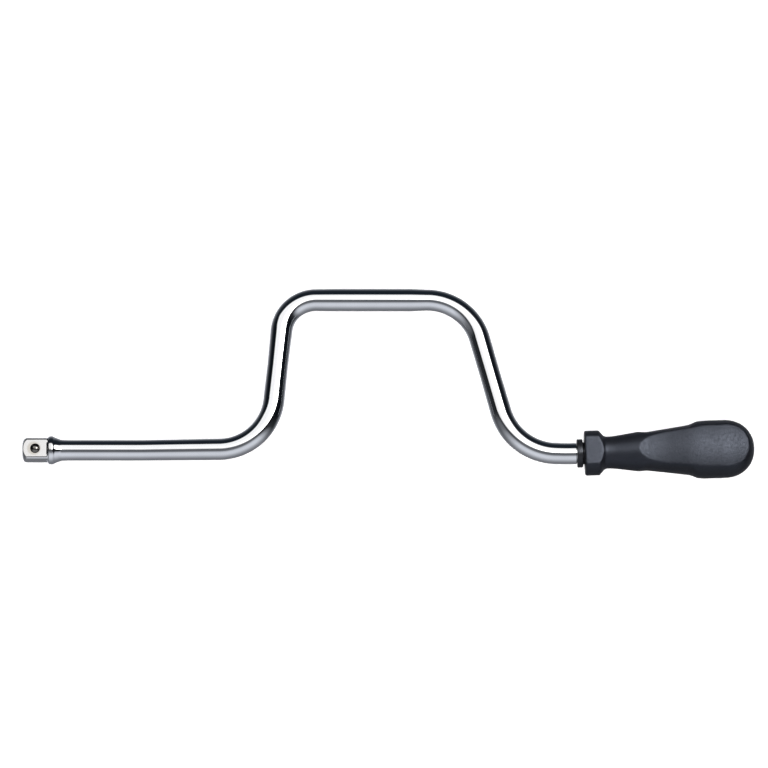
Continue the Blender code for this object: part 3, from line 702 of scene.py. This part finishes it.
bpy.ops.mesh.primitive_plane_add(size=2)
softbox = bpy.context.object
softbox.name = "softbox"
bpy.ops.object.mode_set(mode='EDIT')
bpy.ops.mesh.select_all(action='SELECT')
bpy.ops.mesh.bisect(plane_co=(0, 0, 0), plane_no=(0, 1, 0), clear_inner=True, use_fill=False)
leaveEdit()
softFacing = Vector(studio["softFacing"]).normalized()
softUp = (Vector((0, 1, 0)) - softFacing * softFacing.y).normalized()
softbox.scale = (studio["softWide"], studio["softTall"], 1)
softbox.rotation_mode = 'QUATERNION'
softbox.rotation_quaternion = softFacing.to_track_quat('Z', 'Y')
softbox.location = aim + softFacing + softUp * studio["softUp"] + Vector((studio["softShift"], 0, 0))

softCloth = glowMaterial("softCloth", studio["softColour"], 1.0)
nodes = softCloth.node_tree.nodes
links = softCloth.node_tree.links
place = nodes.new("ShaderNodeSeparateXYZ")
links.new(nodes.new("ShaderNodeTexCoord").outputs["Object"], place.inputs["Vector"])
outward = []
for axis in "XY":
    away = mathNode(nodes, links, 'ABSOLUTE', place.outputs[axis])
    outward.append(mathNode(nodes, links, 'POWER', away, studio["softSquare"]))
reach = mathNode(nodes, links, 'POWER', mathNode(nodes, links, 'ADD', *outward), 1 / studio["softSquare"])
rim = spread(nodes, links, reach, 1.0, 0.0, 1 - studio["softFade"], 1.0)
foot = spread(nodes, links, place.outputs["Y"], 0.0, 1.0, 0.0, studio["softFoot"])
offCentre = []
for axis, centre, width in zip("XY", studio["hotAt"], studio["hotSpread"]):
    shifted = mathNode(nodes, links, 'SUBTRACT', place.outputs[axis], centre)
    scaled = mathNode(nodes, links, 'DIVIDE', shifted, width)
    offCentre.append(mathNode(nodes, links, 'MULTIPLY', scaled, scaled))
fall = mathNode(nodes, links, 'MULTIPLY', mathNode(nodes, links, 'ADD', *offCentre), -0.5)
hot = mathNode(nodes, links, 'MULTIPLY', mathNode(nodes, links, 'EXPONENT', fall), studio["hotPeak"])
level = mathNode(nodes, links, 'ADD', hot, studio["softBase"])
glowLevel = mathNode(nodes, links, 'MULTIPLY', mathNode(nodes, links, 'MULTIPLY', rim, foot), level)
links.new(glowLevel, nodes["Emission"].inputs["Strength"])
softbox.data.materials.append(softCloth)

roomY = aim.y + studio["roomBack"]
bpy.ops.mesh.primitive_cube_add(size=1, location=(aim.x, roomY, studio["roomMiddle"]))
surround = bpy.context.object
surround.name = "surround"
surround.scale = (studio["roomWidth"], studio["roomWidth"], studio["roomHeight"])
applyTransform(surround)
bpy.ops.object.mode_set(mode='EDIT')
bpy.ops.mesh.select_mode(type='FACE')
bpy.ops.mesh.select_all(action='DESELECT')
leaveEdit()
for face in surround.data.polygons:
    face.select = face.normal.z < -0.9
bpy.ops.object.mode_set(mode='EDIT')
roomFoot = (0, 0, floorHeight + studio["roomLift"])
bpy.ops.mesh.extrude_region_move(TRANSFORM_OT_translate={"value": roomFoot})
(openX, openY) = [opening / studio["roomWidth"] for opening in studio["roomOpening"]]
bpy.ops.transform.resize(value=(openX, openY, 1), center_override=(aim.x, roomY, 0))
bpy.ops.transform.translate(value=(floorMiddle.x - aim.x, floorMiddle.y - roomY, 0))
bpy.ops.mesh.delete(type='FACE')
leaveEdit()
surroundCloth = glowMaterial("surroundCloth", studio["cardColour"], 1.0)
nodes = surroundCloth.node_tree.nodes
links = surroundCloth.node_tree.links
offset = nodes.new("ShaderNodeVectorMath")
offset.operation = 'SUBTRACT'
links.new(nodes.new("ShaderNodeNewGeometry").outputs["Position"], offset.inputs[0])
offset.inputs[1].default_value = aim
direction = nodes.new("ShaderNodeVectorMath")
direction.operation = 'NORMALIZE'
links.new(offset.outputs["Vector"], direction.inputs[0])
along = nodes.new("ShaderNodeSeparateXYZ")
links.new(direction.outputs["Vector"], along.inputs["Vector"])
upward = mathNode(nodes, links, 'ABSOLUTE', along.outputs["Z"])
upSquared = mathNode(nodes, links, 'POWER', upward, 2.0)
flatLength = mathNode(nodes, links, 'SQRT', mathNode(nodes, links, 'SUBTRACT', 1.0, upSquared))
nearward = mathNode(nodes, links, 'MULTIPLY', along.outputs["Y"], -1.0)
nearness = mathNode(nodes, links, 'DIVIDE', nearward, flatLength)
rightward = spread(nodes, links, along.outputs["X"], 0.0, 1.0, -studio["sideBlend"], studio["sideBlend"])
leftward = mathNode(nodes, links, 'SUBTRACT', 1.0, rightward)
leftPart = mathNode(nodes, links, 'MULTIPLY', rampOf(nodes, links, nearness, studio["cardByLeft"]), leftward)
rightLevel = rampOf(nodes, links, nearness, studio["cardByRight"])
rightPart = mathNode(nodes, links, 'MULTIPLY', rightLevel, rightward)
cardLevel = mathNode(nodes, links, 'MULTIPLY', rampOf(nodes, links, along.outputs["Z"], studio["cardByHeight"]),
                     mathNode(nodes, links, 'ADD', leftPart, rightPart))
edgeGlow = mathNode(nodes, links, 'MULTIPLY', rampOf(nodes, links, along.outputs["Z"], studio["rimByHeight"]),
                    rampOf(nodes, links, nearness, studio["rimBySide"]))
links.new(mathNode(nodes, links, 'ADD', cardLevel, edgeGlow), nodes["Emission"].inputs["Strength"])
dark = nodes.new("ShaderNodeEmission")
dark.inputs["Color"].default_value = (*studio["darkColour"], 1)
links.new(rampOf(nodes, links, nearness, studio["darkBySide"]), dark.inputs["Strength"])
both = nodes.new("ShaderNodeAddShader")
links.new(nodes["Emission"].outputs["Emission"], both.inputs[0])
links.new(dark.outputs["Emission"], both.inputs[1])
links.new(both.outputs["Shader"], nodes["Material Output"].inputs["Surface"])
surround.data.materials.append(surroundCloth)
for card in (softbox, surround):
    card.visible_camera = False
    card.visible_shadow = False
surround.visible_diffuse = False

world = bpy.data.worlds.new("studioAir")
bpy.context.scene.world = world
world.use_nodes = True
nodes = world.node_tree.nodes
links = world.node_tree.links
background = nodes["Background"]
background.inputs["Color"].default_value = (1, 1, 1, 1)
airLevel = spread(nodes, links, plainRays(nodes, links), studio["ambient"], 1.0, 0.0, 1.0)
links.new(airLevel, background.inputs["Strength"])

cameraData = bpy.data.cameras.new("camera")
camera = bpy.data.objects.new("camera", cameraData)
bpy.context.scene.collection.objects.link(camera)
camera.location = aim + back * studio["distance"]
camera.rotation_mode = 'QUATERNION'
camera.rotation_quaternion = (-back).to_track_quat('-Z', 'Y')
cameraData.sensor_width = studio["sensor"]
cameraData.lens = studio["sensor"] * studio["distance"] / (studio["frameWidth"] * mm)
cameraData.clip_end = studio["clipEnd"]
bpy.context.scene.camera = camera
bpy.context.scene.view_settings.view_transform = 'Standard'
print("studio set")
